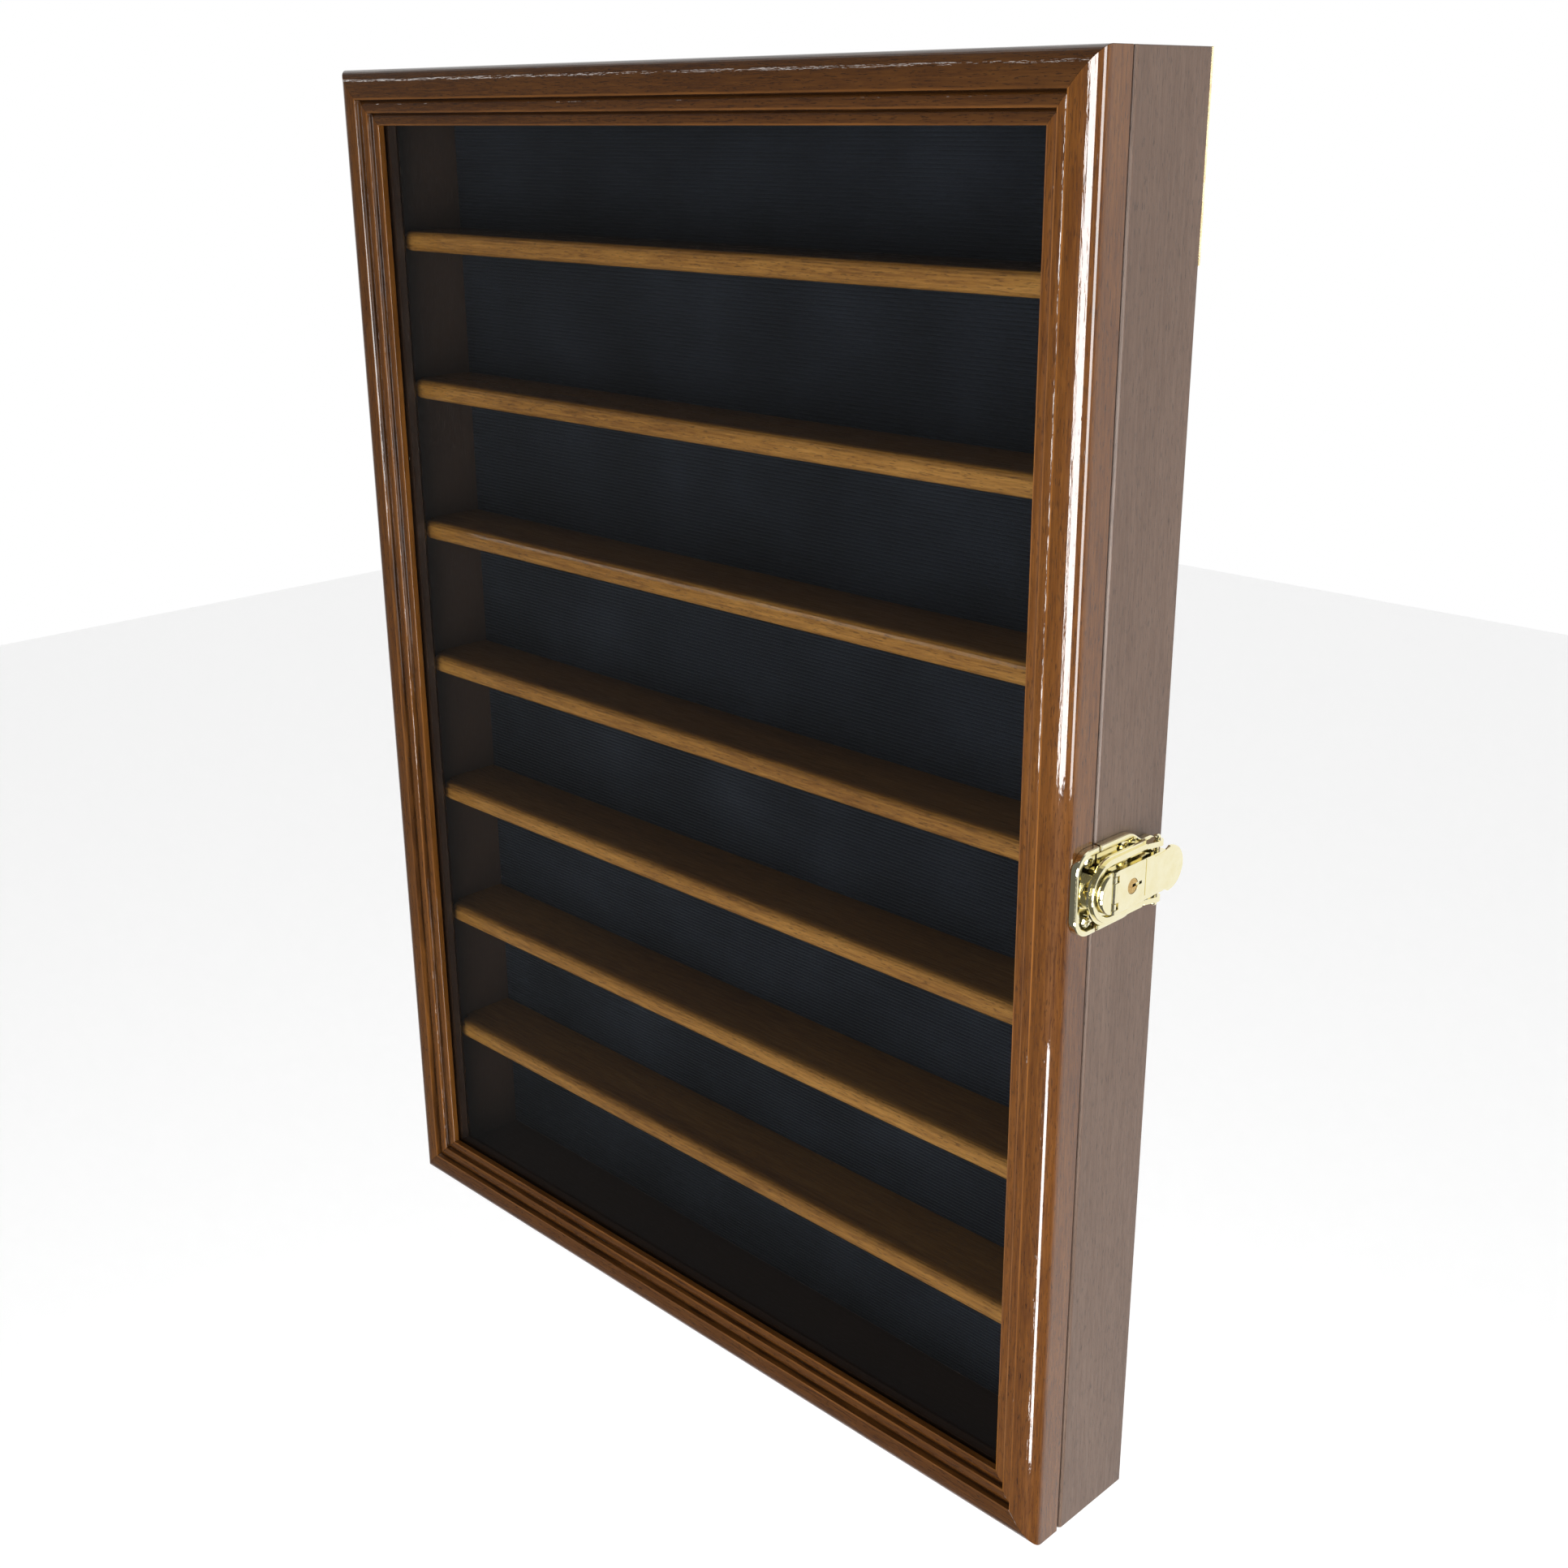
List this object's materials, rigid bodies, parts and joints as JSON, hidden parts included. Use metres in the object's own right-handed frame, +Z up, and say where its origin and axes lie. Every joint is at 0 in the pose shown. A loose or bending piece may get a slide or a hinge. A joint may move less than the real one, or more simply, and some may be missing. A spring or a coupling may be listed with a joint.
{
  "type": "wall display case",
  "caption": "Shallow wall-hung wooden display case with fixed shelves, a glazed moulded door on butt hinges and a brass key-locking draw latch.",
  "frame": {"origin": "centre of the hanging batten's back face, the face that bears on the wall", "axes": "+X to the right as seen from the front, +Y into the wall, +Z up; the door and pane face -Y"},
  "size_m": [0.4688, 0.066, 0.6096],
  "materials": {
    "stained_wood_case": "dark walnut stain under satin lacquer",
    "stained_wood_shelf": "walnut stain under satin lacquer, golden brown on the bullnosed fronts",
    "stained_wood_moulding": "walnut stained moulding under glossy lacquer",
    "hardboard": "plain brown hardboard",
    "ribbed_cloth": "blue-black cloth with fine horizontal ribs",
    "raw_plywood": "unstained plywood",
    "clear_pane": "clear polished sheet",
    "polished_brass": "polished and lacquered brass plate",
    "zinc_steel": "bright zinc plate"
  },
  "bodies": {
    "case": {"case_right_side": "stained_wood_case", "case_left_side": "stained_wood_case", "case_top": "stained_wood_case", "case_bottom": "stained_wood_case", "shelf_1": "stained_wood_shelf", "shelf_2": "stained_wood_shelf", "shelf_3": "stained_wood_shelf", "shelf_4": "stained_wood_shelf", "shelf_5": "stained_wood_shelf", "shelf_6": "stained_wood_shelf", "shelf_7": "stained_wood_shelf", "back_panel": "hardboard", "back_lining": "ribbed_cloth", "hanging_batten": "raw_plywood", "hanger_plate_left": "zinc_steel", "hanger_plate_right": "zinc_steel", "hanger_screw_left_upper": "zinc_steel", "hanger_screw_left_lower": "zinc_steel", "hanger_screw_right_upper": "zinc_steel", "hanger_screw_right_lower": "zinc_steel", "hinge_upper_case_leaf": "polished_brass", "hinge_upper_pin": "polished_brass", "hinge_upper_case_screw_a": "polished_brass", "hinge_upper_case_screw_b": "polished_brass", "hinge_lower_case_leaf": "polished_brass", "hinge_lower_pin": "polished_brass", "hinge_lower_case_screw_a": "polished_brass", "hinge_lower_case_screw_b": "polished_brass", "latch_base": "polished_brass", "latch_nose": "polished_brass", "lever_pin": "polished_brass", "latch_base_screw_upper": "polished_brass", "latch_base_screw_lower": "polished_brass"},
    "door": {"door_stile_left": "stained_wood_moulding", "door_stile_right": "stained_wood_moulding", "door_rail_top": "stained_wood_moulding", "door_rail_bottom": "stained_wood_moulding", "pane_stop_left": "stained_wood_moulding", "pane_stop_right": "stained_wood_moulding", "pane_stop_top": "stained_wood_moulding", "pane_stop_bottom": "stained_wood_moulding", "door_pane": "clear_pane", "hinge_upper_door_leaf": "polished_brass", "hinge_upper_door_screw_a": "polished_brass", "hinge_upper_door_screw_b": "polished_brass", "hinge_lower_door_leaf": "polished_brass", "hinge_lower_door_screw_a": "polished_brass", "hinge_lower_door_screw_b": "polished_brass", "latch_strike": "polished_brass", "latch_strike_screw_upper": "polished_brass", "latch_strike_screw_lower": "polished_brass"},
    "lever": {"latch_lever": "polished_brass", "bail_pin": "polished_brass", "lock_case": "zinc_steel"},
    "bail": {"latch_bail": "polished_brass"},
    "lock": {"lock_plug": "polished_brass", "lock_cam": "zinc_steel"}
  },
  "joints": [
    {"name": "door_swing", "type": "hinge", "parent": "case", "child": "door", "pos_m": [-0.2292, -0.04695, -0.26785], "axis": [0, 0, -1], "range_deg": [0, 170]},
    {"name": "lever_swing", "type": "hinge", "parent": "case", "child": "lever", "pos_m": [0.23585, -0.0463, -0.26585], "axis": [0, 0, -1], "range_deg": [0, 110]},
    {"name": "bail_swing", "type": "hinge", "parent": "lever", "child": "bail", "pos_m": [0.23375, -0.0154, -0.26585], "axis": [0, 0, -1], "range_deg": [-110, 0]},
    {"name": "lock_turn", "type": "hinge", "parent": "lever", "child": "lock", "pos_m": [0.23635, -0.0354, -0.26585], "axis": [1, 0, 0], "range_deg": [0, 90]}
  ],
  "couplings": [
    {"joint": "bail_swing", "follows": "lever_swing", "ratio": -1}
  ]
}
